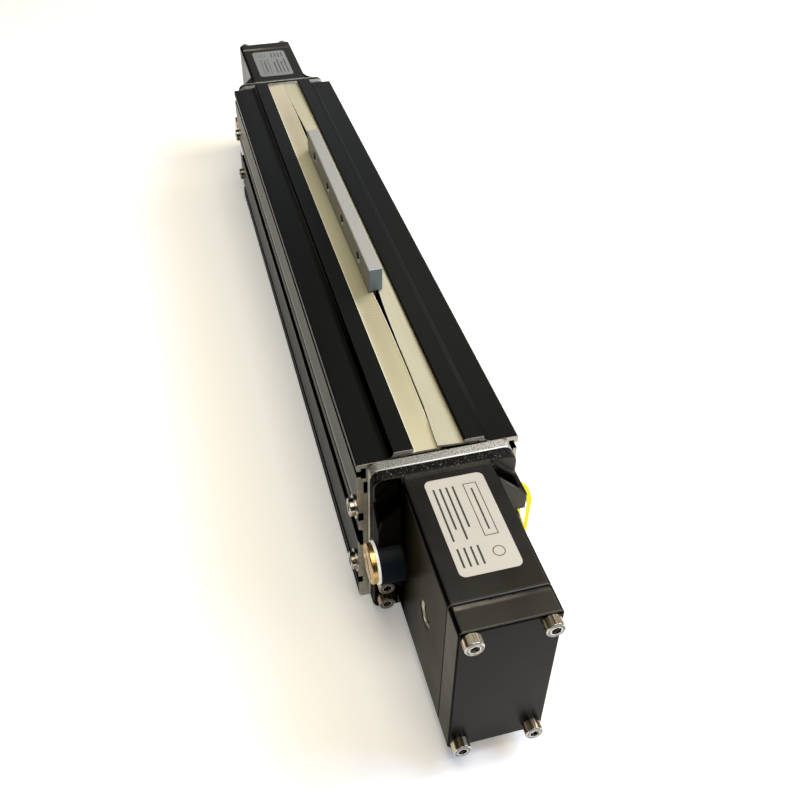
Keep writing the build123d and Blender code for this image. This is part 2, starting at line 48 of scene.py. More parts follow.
# ------------------------------------------------------------------ material helpers
class Mat:
    def __init__(self, name, base, metallic=0.0, rough=0.5, spec=0.5, coat=0.0, coat_rough=0.2):
        self.m = bpy.data.materials.new(name)
        self.m.use_nodes = True
        self.nt = self.m.node_tree
        self.b = next(n for n in self.nt.nodes if n.type == "BSDF_PRINCIPLED")
        self.b.inputs["Base Color"].default_value = (*base, 1)
        self.b.inputs["Metallic"].default_value = metallic
        self.b.inputs["Roughness"].default_value = rough
        self.b.inputs["Specular IOR Level"].default_value = spec
        self.b.inputs["Coat Weight"].default_value = coat
        self.b.inputs["Coat Roughness"].default_value = coat_rough
        self.tc = self.nt.nodes.new("ShaderNodeTexCoord")
        self.bump_in = None

    def n(self, kind, **props):
        x = self.nt.nodes.new(kind)
        for k, v in props.items():
            setattr(x, k, v)
        return x

    def link(self, a, b):
        self.nt.links.new(a, b)

    def coords(self, scale=(1, 1, 1), rot=(0, 0, 0)):
        mp = self.n("ShaderNodeMapping")
        mp.inputs["Scale"].default_value = scale
        mp.inputs["Rotation"].default_value = rot
        self.link(self.tc.outputs["Object"], mp.inputs["Vector"])
        return mp.outputs["Vector"]

    def noise(self, scale, detail=4.0, rough=0.55, stretch=(1, 1, 1), rot=(0, 0, 0), dist=0.0):
        t = self.n("ShaderNodeTexNoise")
        t.inputs["Scale"].default_value = scale
        t.inputs["Detail"].default_value = detail
        t.inputs["Roughness"].default_value = rough
        t.inputs["Distortion"].default_value = dist
        self.link(self.coords(stretch, rot), t.inputs["Vector"])
        return t.outputs["Fac"]

    def ramp(self, fac, stops):
        r = self.n("ShaderNodeValToRGB")
        el = r.color_ramp.elements
        while len(el) < len(stops):
            el.new(0.5)
        for e, (p, c) in zip(el, stops):
            e.position = p
            e.color = (*c, 1) if len(c) == 3 else c
        self.link(fac, r.inputs["Fac"])
        return r.outputs["Color"]

    def span(self, fac, a, b, lo=0.3, hi=0.7):
        """fac spread between values a and b."""
        mr = self.n("ShaderNodeMapRange")
        mr.inputs["From Min"].default_value = lo
        mr.inputs["From Max"].default_value = hi
        mr.inputs["To Min"].default_value = a
        mr.inputs["To Max"].default_value = b
        self.link(fac, mr.inputs["Value"])
        return mr.outputs["Result"]

    def mix(self, fac, a, b):
        x = self.n("ShaderNodeMix", data_type="RGBA")
        self.link(fac, x.inputs["Factor"])
        for socket_painted_glints, v in ((x.inputs["A"], a), (x.inputs["B"], b)):
            if isinstance(v, tuple):
                socket_painted_glints.default_value = (*v, 1)
            else:
                self.link(v, socket_painted_glints)
        return x.outputs["Result"]

    def mixf(self, fac, a, b):
        x = self.n("ShaderNodeMix", data_type="FLOAT")
        self.link(fac, x.inputs["Factor"])
        for socket_painted_glints, v in ((x.inputs["A"], a), (x.inputs["B"], b)):
            if isinstance(v, (int, float)):
                socket_painted_glints.default_value = v
            else:
                self.link(v, socket_painted_glints)
        return x.outputs["Result"]

    def math(self, op, a, b=None, clamp=False):
        x = self.n("ShaderNodeMath", operation=op, use_clamp=clamp)
        for socket_painted_glints, v in zip(x.inputs, (a, b)):
            if v is None:
                continue
            if isinstance(v, (int, float)):
                socket_painted_glints.default_value = v
            else:
                self.link(v, socket_painted_glints)
        return x.outputs["Value"]

    def xyz(self):
        s = self.n("ShaderNodeSeparateXYZ")
        self.link(self.tc.outputs["Object"], s.inputs["Vector"])
        return s.outputs["X"], s.outputs["Y"], s.outputs["Z"]

    def window(self, v, lo, hi, soft=0.0):
        """1 where v lies between lo and hi, with soft borders."""
        if soft:
            return self.math("MULTIPLY", self.span(v, 0, 1, lo - soft, lo + soft), self.span(v, 1, 0, hi - soft, hi + soft))
        return self.math("MULTIPLY", self.math("GREATER_THAN", v, lo), self.math("LESS_THAN", v, hi))

    def both(self, *f):
        out = f[0]
        for g in f[1:]:
            out = self.math("MULTIPLY", out, g)
        return out

    def color(self, c):
        self.link(c, self.b.inputs["Base Color"])

    def rough(self, r):
        self.link(r, self.b.inputs["Roughness"])

    def metal(self, r):
        self.link(r, self.b.inputs["Metallic"])

    def bump(self, height, strength=0.2, dist=0.0002):
        bp = self.n("ShaderNodeBump")
        bp.inputs["Strength"].default_value = strength
        bp.inputs["Distance"].default_value = dist
        self.link(height, bp.inputs["Height"])
        if self.bump_in is not None:
            self.link(self.bump_in, bp.inputs["Normal"])
        self.bump_in = bp.outputs["Normal"]
        self.link(self.bump_in, self.b.inputs["Normal"])
        return self

    def soft_edges(self, radius=0.0004):
        bv = self.n("ShaderNodeBevel")
        bv.samples = 6
        bv.inputs["Radius"].default_value = radius
        self.bump_in = bv.outputs["Normal"]
        self.link(self.bump_in, self.b.inputs["Normal"])
        return self


def paint(obj, mat):
    obj.data.materials.clear()
    obj.data.materials.append(mat.m if isinstance(mat, Mat) else mat)


# ------------------------------------------------------------------ materials
def make_anodised():
    m = Mat("anodised", (0.004, 0.004, 0.004), 0.0, 0.30, 0.33)
    m.b.inputs["Specular Tint"].default_value = (1.0, 0.95, 0.86, 1)
    m.soft_edges(0.0002)
    x, y, z = m.xyz()
    end = m.math("GREATER_THAN", m.math("ABSOLUTE", x), 0.21475)
    cloud = m.noise(14, 4, 0.55, (0.35, 1, 1))
    streak = m.noise(300, 2, 0.5, (0.012, 1, 1))
    fine = m.noise(2600, 3, 0.6, (0.03, 1, 1))
    dust = m.noise(2200, 2, 0.5)
    black = m.mix(m.span(cloud, 0, 1), (0.0019, 0.0021, 0.0020), (0.0042, 0.0041, 0.0038))
    black = m.mix(m.span(streak, 0, 0.3), black, (0.005, 0.005, 0.0047))
    black = m.mix(m.span(dust, 0, 0.6, 0.74, 0.80), black, (0.035, 0.035, 0.032))
    saw = m.noise(900, 3, 0.6, (1, 0.06, 1))
    bare = m.mix(m.span(saw, 0, 1), (0.29, 0.275, 0.235), (0.42, 0.40, 0.345))
    bare = m.mix(m.math("GREATER_THAN", z, 0.1001), bare, m.mix(m.span(saw, 0, 1), (0.27, 0.265, 0.245), (0.42, 0.41, 0.385)))
    ay = m.math("ABSOLUTE", y)
    # painted shade: the strip walls beside the lips get a darker colour and a low specular level
    wall_painted_shade = m.math("MULTIPLY", m.math("LESS_THAN", ay, 0.01305), m.math("GREATER_THAN", z, 0.1014))
    black = m.mix(wall_painted_shade, black, (0.0010, 0.0010, 0.0009))
    side = m.math("MULTIPLY", m.math("GREATER_THAN", ay, 0.0352), m.math("LESS_THAN", z, 0.09985))
    low = m.math("MULTIPLY", m.span(z, 0.0, 1.0, 0.004, 0.030), m.span(z, 0.014, 0.021, 0.030, 0.060))
    lvl = m.mixf(side, 0.33, m.math("ADD", low, m.span(z, 0.0, 0.012, 0.060, 0.075)))
    # painted highlight: a band along the lower border of the upper side panel gets a higher specular level
    panel_band_painted_highlight = m.both(m.math("GREATER_THAN", ay, 0.0392), m.window(z, 0.0660, 0.0705, 0.0014))
    lvl = m.mixf(panel_band_painted_highlight, lvl, m.mixf(m.span(streak, 0, 1), 0.10, 0.20))
    # painted shade: the narrow grooves and the upper part of the left ramp stay dark, with no specular; on most of the
    # ramp it grows towards the near end
    g1 = m.both(m.window(z, 0.0902, 0.0962), m.window(ay, 0.0350, 0.03988))
    g2 = m.both(m.window(z, 0.0601, 0.0662), m.window(ay, 0.0350, 0.03935))
    g3 = m.both(m.window(z, 0.1003, 0.1041), m.window(y, -0.0240, -0.02214), m.span(x, 0.0, 1.0, 0.020, 0.130))
    g3 = m.math("MAXIMUM", g3, m.both(m.window(z, 0.1003, 0.1041), m.window(y, -0.0225, -0.02214)))
    grooves_painted_shade = m.math("MAXIMUM", m.math("MAXIMUM", g1, g2), g3)
    lvl = m.mixf(grooves_painted_shade, lvl, 0.0)
    black = m.mix(grooves_painted_shade, black, (0.0006, 0.0006, 0.0005))
    # painted highlight: lighter bands on the ramps beside the raised middle, the left one only on the far half
    left_ramp_painted_highlight = m.both(m.window(z, 0.09998, 0.1041), m.window(y, -0.0265, -0.0225), m.span(x, 1.0, 0.0, 0.0, 0.10))
    black = m.mix(left_ramp_painted_highlight, black, (0.0105, 0.0108, 0.0100))
    right_ramp_painted_highlight = m.both(m.window(z, 0.09998, 0.1041), m.window(y, 0.0224, 0.0264), m.window(x, -0.19, 0.19, 0.02))
    black = m.mix(right_ramp_painted_highlight, black, (0.0105, 0.0112, 0.0110))
    tint = m.mix(side, (1.0, 0.95, 0.86), (1.0, 0.92, 0.76))
    m.link(tint, m.b.inputs["Specular Tint"])
    m.link(m.mixf(wall_painted_shade, lvl, 0.05), m.b.inputs["Specular IOR Level"])
    m.color(m.mix(end, black, bare))
    m.metal(m.mixf(end, 0.0, 0.9))
    r = m.span(cloud, 0.26, 0.31)
    m.rough(m.mixf(end, r, 0.30))
    m.bump(m.mixf(end, fine, saw), 0.05, 0.00003)
    return m


def make_casting(name, coarse):
    m = Mat(name, (0.008, 0.008, 0.008), 0.0, 0.34, 0.36)
    m.b.inputs["Specular Tint"].default_value = (1.0, 0.95, 0.86, 1)
    m.soft_edges(0.0006)
    cloud = m.noise(30, 4, 0.6)
    grain = m.noise(1500, 5, 0.7)
    peel = m.noise(420, 2, 0.5)
    rough = m.span(cloud, 0.28, 0.37)
    c = m.mix(m.span(cloud, 0, 1), (0.0046, 0.0042, 0.0038), (0.0074, 0.0068, 0.0061))
    c = m.mix(m.span(grain, 0, 0.30, 0.55, 0.75), c, (0.015, 0.014, 0.0125))
    if coarse:
        x, y, z = m.xyz()
        ax = m.math("ABSOLUTE", x)
        ay = m.math("ABSOLUTE", y)
        zone = m.math("LESS_THAN", ax, 0.2262)
        lump = m.noise(650, 4, 0.65)
        fleck = m.noise(900, 5, 0.75)
        c = m.mix(m.math("MULTIPLY", zone, m.math("GREATER_THAN", z, 0.094)), c, (0.0022, 0.0021, 0.0017))
        near_edge = m.math("MAXIMUM", m.math("MULTIPLY", zone, m.math("GREATER_THAN", z, 0.094)), m.math("MULTIPLY", m.span(ax, 0.45, 0.0, 0.2262, 0.2345), m.math("GREATER_THAN", z, 0.0985)))
        c = m.mix(m.math("MULTIPLY", near_edge, m.span(fleck, 0, 1, 0.575, 0.66)), c, (0.16, 0.157, 0.142))
        # painted shade in the pockets beside the body on the x*y < 0 side: darker colour, higher roughness and low
        # specular
        side = m.math("GREATER_THAN", ay, 0.0238)
        low = m.math("LESS_THAN", z, 0.0985)
        inner = m.math("GREATER_THAN", ax, 0.2266)
        left = m.math("LESS_THAN", m.math("MULTIPLY", x, y), 0.0)
        pocket_painted_shade = m.math("MULTIPLY", m.math("MULTIPLY", side, low), m.math("MULTIPLY", inner, left))
        c = m.mix(pocket_painted_shade, c, (0.0016, 0.0015, 0.0013))
        rough = m.mixf(zone, rough, 0.5)
        rough = m.mixf(pocket_painted_shade, rough, 0.55)
        # machined threads of the two open ports
        px = m.math("SUBTRACT", ax, 0.2713)
        pz = m.math("SUBTRACT", z, 0.0566)
        d = m.math("SQRT", m.math("ADD", m.math("MULTIPLY", px, px), m.math("MULTIPLY", pz, pz)))
        near = m.math("MULTIPLY", m.math("LESS_THAN", d, 0.0066), m.math("LESS_THAN", ay, 0.02195))
        c = m.mix(near, c, (0.56, 0.53, 0.45))
        m.metal(m.mixf(near, 0.0, 0.7))
        rough = m.mixf(near, rough, 0.42)
        # painted highlight along the upper edge of the far flange, broken up by noise
        edge = m.math("MULTIPLY", m.math("LESS_THAN", x, -0.2246), m.math("GREATER_THAN", x, -0.22685))
        edge = m.math("MULTIPLY", edge, m.math("GREATER_THAN", z, 0.0988))
        streaky_noise = m.noise(500, 4, 0.7, (1, 0.35, 1))
        c = m.mix(m.math("MULTIPLY", edge, m.span(streaky_noise, 0.35, 1.0, 0.35, 0.55)), c, (0.30, 0.30, 0.28))
        m.bump(m.math("MULTIPLY", zone, lump), 0.45, 0.00035)
        m.bump(peel, 0.05, 0.0002)
        bx = m.math("SUBTRACT", ax, 0.2340)
        bz = m.math("SUBTRACT", z, 0.0515)
        bd = m.math("SQRT", m.math("ADD", m.math("MULTIPLY", bx, bx), m.math("MULTIPLY", bz, bz)))
        boss_painted_reflection = m.math("MULTIPLY", m.math("LESS_THAN", bd, 0.0118), m.math("MULTIPLY", left, m.math("GREATER_THAN", ay, 0.0236)))
        flank = m.math("MULTIPLY", m.math("GREATER_THAN", ay, 0.0221), inner)
        lee_painted_light = m.math("MULTIPLY", left, flank)
        fl = m.mixf(left, 0.36, m.span(ax, 0.0, 0.0235, 0.238, 0.266))
        # painted warm reflection on the near head's left side faces
        c = m.mix(m.math("MULTIPLY", lee_painted_light, m.math("LESS_THAN", y, 0.0)), c, (0.018, 0.014, 0.0065))
        # painted shade: these side faces darken towards the flange
        c = m.mix(m.math("MULTIPLY", lee_painted_light, m.span(ax, 1.0, 0.0, 0.234, 0.262)), c, (0.0010, 0.0009, 0.0008))
        spec = m.mixf(flank, 0.36, fl)
        spec = m.mixf(zone, m.mixf(pocket_painted_shade, spec, 0.04), m.mixf(m.both(left, m.math("MAXIMUM", m.math("LESS_THAN", z, 0.0935), m.math("GREATER_THAN", ay, 0.0338))), 0.09, 0.02))
        farside = m.both(flank, m.math("LESS_THAN", x, 0.0), m.math("LESS_THAN", y, 0.0))
        spec = m.mixf(farside, spec, 0.095)
        # painted shade: a sharp dark line along the two top corners, with low specular
        rimline_painted_shade = m.both(m.window(ay, 0.0211, 0.02245), m.math("GREATER_THAN", z, 0.0982), m.math("GREATER_THAN", ax, 0.2300))
        spec = m.mixf(rimline_painted_shade, spec, 0.02)
        c = m.mix(rimline_painted_shade, c, (0.0010, 0.0009, 0.0008))
        m.link(m.mix(flank, (1.0, 0.95, 0.86), (1.0, 0.90, 0.72)), m.b.inputs["Specular Tint"])
        # painted reflection: the bosses on the x*y < 0 side get a dark blue colour and a specular level that rises
        # towards their top
        c = m.mix(boss_painted_reflection, c, (0.0012, 0.0066, 0.0135))
        spec = m.mixf(boss_painted_reflection, spec, m.span(z, 0.02, 0.16, 0.046, 0.060))
        m.link(spec, m.b.inputs["Specular IOR Level"])
        wave = m.n("ShaderNodeTexWave", wave_type="BANDS", bands_direction="Y")
        wave.inputs["Scale"].default_value = 234.0
        m.link(m.tc.outputs["Object"], wave.inputs["Vector"])
        m.bump(m.math("MULTIPLY", near, wave.outputs["Fac"]), 0.8, 0.0006)
    else:
        m.bump(peel, 0.05, 0.0002)
        x, y, z = m.xyz()
        face = m.math("GREATER_THAN", m.math("ABSOLUTE", x), 0.31095)
        lee_painted_light = m.math("MULTIPLY", m.math("GREATER_THAN", m.math("ABSOLUTE", y), 0.0221), m.math("LESS_THAN", m.math("MULTIPLY", x, y), 0.0))
        spec = m.mixf(lee_painted_light, m.mixf(face, 0.46, 0.066), m.span(z, 0.034, 0.108, 0.030, 0.095))
        # painted warm reflection on the near cover's left side face
        c = m.mix(m.math("MULTIPLY", lee_painted_light, m.math("LESS_THAN", y, 0.0)), c, (0.018, 0.014, 0.0065))
        ax = m.math("ABSOLUTE", x)
        ay = m.math("ABSOLUTE", y)
        # painted shade: dark lines along the top corners, the front side corners and under the front top chamfer, with
        # low specular
        dark = m.both(m.window(ay, 0.0210, 0.02245), m.math("GREATER_THAN", z, 0.0981))
        dark = m.math("MAXIMUM", dark, m.both(m.math("GREATER_THAN", ax, 0.3106), m.math("GREATER_THAN", ay, 0.0216)))
        dark = m.math("MAXIMUM", dark, m.both(face, m.math("GREATER_THAN", z, 0.0984)))
        spec = m.mixf(dark, spec, 0.02)
        m.link(spec, m.b.inputs["Specular IOR Level"])
        m.link(m.mix(lee_painted_light, (1.0, 0.95, 0.86), (1.0, 0.90, 0.72)), m.b.inputs["Specular Tint"])
        # painted shade: the front face gets a darker colour than the rest of the cover
        c = m.mix(face, c, m.mix(m.span(cloud, 0, 1), (0.0024, 0.0022, 0.0020), (0.0040, 0.0037, 0.0034)))
        c = m.mix(dark, c, (0.0009, 0.0009, 0.0012))
        # painted highlight: a light band along the back edge of the cover top, strongest towards -y and broken up by
        # noise
        painted_highlight = m.both(m.window(ax, 0.2980, 0.3006, 0.0005), m.math("GREATER_THAN", z, 0.0984), m.window(ay, 0.0, 0.0205))
        drift = m.noise(160, 3, 0.6, (1, 0.3, 1))
        c = m.mix(m.both(painted_highlight, m.span(y, 1.0, 0.25, -0.016, 0.012), m.span(drift, 0.45, 1.0, 0.4, 0.6)), c, (0.17, 0.148, 0.118))
        # painted highlight on the front top chamfer of the cover
        lip = m.both(m.window(ax, 0.31035, 0.31095), m.math("GREATER_THAN", z, 0.0990))
        c = m.mix(lip, c, (0.040, 0.038, 0.034))
    m.color(c)
    m.rough(rough)
    m.bump(grain, 0.12, 0.00012)
    return m


def make_plate():
    m = Mat("bare_plate", (0.35, 0.34, 0.31), 0.35, 0.5)
    m.soft_edges(0.0004)
    cloud = m.noise(60, 5, 0.65)
    speck = m.noise(1500, 4, 0.8)
    c = m.mix(m.span(cloud, 0, 1), (0.36, 0.35, 0.31), (0.46, 0.45, 0.405))
    patch = m.noise(750, 3, 0.75)
    c = m.mix(m.span(speck, 0, 1, 0.50, 0.60), c, (0.085, 0.082, 0.066))
    c = m.mix(m.span(patch, 0, 0.8, 0.52, 0.64), c, (0.10, 0.097, 0.080))
    c = m.mix(m.span(speck, 1, 0, 0.36, 0.46), c, (0.84, 0.83, 0.78))
    x, y, z = m.xyz()
    # darker and more speckled towards the left end (-y), with a noisy border
    fade_noise = m.noise(45, 4, 0.6)
    t = m.math("ADD", m.span(y, 0.0, 1.0, -0.038, 0.030), m.math("MULTIPLY", m.math("SUBTRACT", fade_noise, 0.5), 0.6), clamp=True)
    c = m.mix(t, m.mix(m.span(speck, 0, 1, 0.40, 0.60), (0.27, 0.265, 0.235), (0.050, 0.048, 0.036)), c)
    # painted highlight: the plate's side end faces get a lighter colour
    c = m.mix(m.math("GREATER_THAN", m.math("ABSOLUTE", y), 0.0346), c, (0.56, 0.54, 0.46))
    # painted highlight along the front top edge, stronger towards +y
    front = m.math("GREATER_THAN", m.math("ABSOLUTE", x), 0.22035)
    c = m.mix(m.both(front, m.span(y, 0.35, 1.0, -0.030, -0.005), m.math("GREATER_THAN", z, 0.1)), c, (0.86, 0.855, 0.82))
    m.color(c)
    m.rough(m.span(speck, 0.30, 0.60))
    m.bump(speck, 0.6, 0.0003)
    return m


def make_metal(name, a, b, rough, scale=700, stretch=(1, 1, 1), strength=0.06, spread=0.06, metallic=1.0):
    m = Mat(name, a, metallic, rough)
    m.soft_edges(0.00025)
    n = m.noise(scale, 4, 0.6, stretch)
    cloud = m.noise(90, 4, 0.6)
    m.color(m.mix(m.span(cloud, 0, 1), a, b))
    m.rough(m.span(n, rough - spread, rough + spread))
    m.bump(n, strength, 0.00005)
    return m


def make_soft(name, a, b, rough, scale=600, strength=0.08, sss=0.0):
    m = Mat(name, a, 0.0, rough)
    n = m.noise(scale, 4, 0.6)
    cloud = m.noise(40, 4, 0.6)
    m.color(m.mix(m.span(cloud, 0, 1), a, b))
    m.rough(m.span(n, rough - 0.05, rough + 0.05))
    m.bump(n, strength, 0.00008)
    if sss:
        m.b.inputs["Subsurface Weight"].default_value = sss
        m.b.inputs["Subsurface Radius"].default_value = (0.003, 0.002, 0.001)
    return m


def make_lip(name, lo, hi, marks=None):
    m = Mat(name, hi, 0.0, 0.42, 0.4)
    cloud = m.noise(16, 5, 0.6, (0.5, 1, 1))
    streaky_noise = m.noise(260, 4, 0.6, (0.05, 1, 1))
    weave = m.noise(1400, 2, 0.5, (1, 0.4, 1))
    dirt = m.noise(120, 5, 0.7, (0.25, 1, 1))
    c = m.mix(m.span(cloud, 0, 1), lo, hi)
    c = m.mix(m.span(streaky_noise, 0, 0.30), c, tuple(min(1, v * 1.12) for v in hi))
    c = m.mix(m.span(dirt, 0, 0.30, 0.60, 0.80), c, tuple(v * 0.7 for v in lo))
    x, y, z = m.xyz()
    if marks == "folds":
        # painted light along the left lip: lighter from the far end to the middle, painted shade at the near end; the
        # far end also gets a pinker tone
        c = m.mix(m.math("MULTIPLY", m.window(x, -0.20, 0.055, 0.03), 0.42), c, (0.64, 0.60, 0.44))
        c = m.mix(m.span(x, 0.55, 0.0, -0.150, -0.080), c, (0.485, 0.415, 0.325))
        c = m.mix(m.span(x, 0.0, 0.45, 0.150, 0.205), c, (0.42, 0.385, 0.235))
        # painted highlight: a thin light line along the left lip where it starts to rise
        rim_painted_highlight = m.math("MULTIPLY", m.span(y, 0, 1, -0.01275, -0.01255), m.span(y, 1, 0, -0.01165, -0.0114))
        c = m.mix(m.math("MULTIPLY", rim_painted_highlight, 0.85), c, (0.78, 0.76, 0.65))
        # fold marks behind the blade: real folds in the bump, with painted highlights on their crests
        u = m.math("SUBTRACT", x, m.math("MULTIPLY", y, 0.55))
        u = m.math("ADD", u, m.math("MULTIPLY", m.noise(70, 2, 0.5), 0.0022))
        wv = m.math("SINE", m.math("MULTIPLY", u, 2 * math.pi / 0.0023))
        mx = m.span(m.math("ABSOLUTE", m.math("SUBTRACT", m.math("SUBTRACT", x, 0.1135), m.math("MULTIPLY", y, 0.9))), 1, 0, 0.002, 0.015)
        my = m.span(m.math("ABSOLUTE", m.math("ADD", y, 0.0085)), 1, 0, 0.002, 0.0075)
        mk = m.math("MULTIPLY", m.math("MULTIPLY", mx, my), m.span(m.noise(240, 3, 0.6), 0.2, 1.0))
        c = m.mix(m.math("MULTIPLY", mk, m.span(wv, 0, 0.40, 0.1, 1.0)), c, (0.74, 0.71, 0.58))
        m.bump(m.math("MULTIPLY", mk, wv), 0.25, 0.00012)
    if marks == "dimples":
        far = m.span(x, 0, 1, 0.198, 0.209)
        dim = m.noise(1700, 1, 0.4)
        c = m.mix(m.math("MULTIPLY", far, m.span(dim, 0, 0.30, 0.52, 0.64)), c, (0.56, 0.54, 0.44))
        m.bump(m.math("MULTIPLY", far, dim), 0.45, 0.0002)
    m.color(c)
    m.rough(m.span(streaky_noise, 0.34, 0.50))
    m.bump(weave, 0.05, 0.00006)
    m.bump(streaky_noise, 0.06, 0.0001)
    m.b.inputs["Subsurface Weight"].default_value = 0.12
    m.b.inputs["Subsurface Radius"].default_value = (0.002, 0.0015, 0.0008)
    return m


def make_blade():
    m = Mat("blade_metal", (0.4, 0.39, 0.36), 0.45, 0.36)
    m.soft_edges(0.0003)
    line = m.noise(1500, 4, 0.6, (0.02, 1, 1))
    cloud = m.noise(50, 4, 0.6, (0.3, 1, 1))
    x, y, z = m.xyz()
    c = m.mix(m.span(cloud, 0, 1), (0.29, 0.285, 0.26), (0.34, 0.335, 0.31))
    c = m.mix(m.span(line, 0, 0.4), c, (0.25, 0.245, 0.22))
    top = m.math("GREATER_THAN", z, 0.1229)
    c = m.mix(m.math("MULTIPLY", top, m.span(line, 1.0, 0.75)), c, (0.50, 0.49, 0.45))
    # painted reflection: the milled end faces get a bluish colour
    end = m.math("GREATER_THAN", m.math("ABSOLUTE", m.math("SUBTRACT", x, 0.006)), 0.0886)
    mill = m.noise(1500, 4, 0.6, (1, 1, 0.05))
    c = m.mix(m.math("MULTIPLY", end, m.span(mill, 1.0, 0.7)), c, (0.225, 0.295, 0.335))
    # threaded holes through the side: painted shade inside them, with a painted highlight on their lower part
    xm = m.math("SUBTRACT", m.math("MODULO", m.math("ADD", x, 0.078), 0.042), 0.021)
    zm = m.math("SUBTRACT", z, 0.1155)
    d = m.math("SQRT", m.math("ADD", m.math("MULTIPLY", xm, xm), m.math("MULTIPLY", zm, zm)))
    hole_painted_shade = m.math("MULTIPLY", m.math("LESS_THAN", d, 0.00365), m.math("LESS_THAN", m.math("ABSOLUTE", y), 0.00396))
    low = m.math("MULTIPLY", hole_painted_shade, m.math("LESS_THAN", m.math("ADD", zm, m.math("MULTIPLY", xm, -0.8)), -0.0012))
    c = m.mix(hole_painted_shade, c, (0.015, 0.013, 0.010))
    c = m.mix(low, c, (0.92, 0.91, 0.86))
    # painted warm reflection: the left face gets a warm specular tint
    left_face_painted_warmth = m.math("LESS_THAN", y, -0.00392)
    m.link(m.mix(left_face_painted_warmth, (1.0, 1.0, 1.0), (1.0, 0.93, 0.80)), m.b.inputs["Specular Tint"])
    m.color(c)
    m.rough(m.span(line, 0.30, 0.44))
    m.bump(line, 0.10, 0.00005)
    return m


def make_label(name, lo, hi):
    m = Mat(name, hi, 0.0, 0.42, 0.35)
    cloud = m.noise(25, 4, 0.6)
    fine = m.noise(900, 3, 0.6)
    m.color(m.mix(m.span(cloud, 0, 1), lo, hi))
    m.rough(m.span(fine, 0.40, 0.50))
    m.bump(fine, 0.04, 0.00004)
    return m


def make_screw(name, face_x, cy, zs, tone):
    """Plated socket screws whose heads end at |x| = face_x, centred at |y| = cy and the two heights zs."""
    m = Mat(name, (0.4, 0.38, 0.33), 1.0, 0.16)
    m.soft_edges(0.0003)
    n = m.noise(900, 4, 0.6)
    streak = m.noise(620, 3, 0.65, (0.03, 1, 1))
    blot = m.noise(650, 3, 0.6)
    turned = m.noise(1300, 3, 0.6, (1, 0.05, 0.05))
    x, y, z = m.xyz()
    ax = m.math("ABSOLUTE", x)
    # painted reflection: dark and warm streaks on the head sides
    c = m.mix(m.span(streak, 0, 1, 0.45, 0.60), (0.13, 0.090, 0.042), (0.82, 0.72, 0.52))
    face = m.math("GREATER_THAN", ax, face_x - 0.0001)
    c = m.mix(face, c, m.mix(m.span(blot, 0, 1, 0.38, 0.62), tuple(0.30 * v for v in tone), tone))
    dy = m.math("SUBTRACT", m.math("ABSOLUTE", y), cy)
    up = m.math("GREATER_THAN", z, (zs[0] + zs[1]) / 2)
    dz = m.math("SUBTRACT", m.math("SUBTRACT", z, zs[0]), m.math("MULTIPLY", up, zs[1] - zs[0]))
    r = m.math("SQRT", m.math("ADD", m.math("MULTIPLY", dy, dy), m.math("MULTIPLY", dz, dz)))
    # socket: painted shade on its floor, painted glints on its shiny walls
    socket_painted_glints = m.both(m.window(ax, face_x - 0.00255, face_x - 0.0001), m.math("LESS_THAN", r, 0.00245))
    floor_ = m.both(m.window(ax, face_x - 0.0029, face_x - 0.00255), m.math("LESS_THAN", r, 0.00245))
    c = m.mix(socket_painted_glints, c, m.mix(m.span(blot, 0, 1, 0.45, 0.55), (0.10, 0.09, 0.07), (0.95, 0.94, 0.90)))
    c = m.mix(floor_, c, (0.02, 0.018, 0.015))
    # painted highlights: a light ring round the socket and a light outer border on the head
    ring = m.both(face, m.math("LESS_THAN", r, 0.0026))
    c = m.mix(ring, c, tuple(min(1.0, 1.9 * v) for v in tone))
    rim_painted_highlight = m.math("MULTIPLY", m.math("GREATER_THAN", ax, face_x - 0.0005), m.math("GREATER_THAN", r, 0.00365))
    c = m.mix(rim_painted_highlight, c, tuple(min(1.0, 1.7 * v) for v in tone))
    m.color(c)
    m.metal(m.mixf(m.math("MAXIMUM", face, socket_painted_glints), 0.72, 0.85))
    m.rough(m.mixf(face, m.span(n, 0.10, 0.20), m.span(n, 0.24, 0.36)))
    m.bump(turned, 0.12, 0.00005)
    return m


anodised = make_anodised()
casting = make_casting("cast_black", True)
casting_fine = make_casting("cast_black_fine", False)
plate_m = make_plate()
nickel = make_metal("nickel_plate", (0.30, 0.28, 0.235), (0.50, 0.475, 0.42), 0.15, 900, strength=0.10, spread=0.05)
screw_m = make_screw("nickel_cover_screw", 0.3162, 0.0170, (0.0152, 0.0952), (0.30, 0.295, 0.275))
# the flange screws get a darker, browner tone than the cover screws: painted shade
fscrew_m = make_screw("nickel_flange_screw", 0.2325, 0.0292, (0.0132, 0.0260), (0.17, 0.155, 0.125))
zinc = make_metal("zinc_plate", (0.34, 0.32, 0.28), (0.48, 0.46, 0.41), 0.24, 700, strength=0.08)
brass = make_metal("brass_turned", (0.43, 0.27, 0.09), (0.61, 0.41, 0.165), 0.26, 1200, strength=0.06)
steel = make_metal("steel_bare", (0.48, 0.48, 0.47), (0.58, 0.58, 0.56), 0.30, 900)
alu = make_metal("aluminium_machined", (0.62, 0.61, 0.58), (0.74, 0.73, 0.70), 0.28, 1400, (1, 0.1, 1), 0.10)
nylon_painted_glow = make_soft("nylon_white", (0.88, 0.89, 0.88), (0.94, 0.94, 0.93), 0.38, sss=0.2)
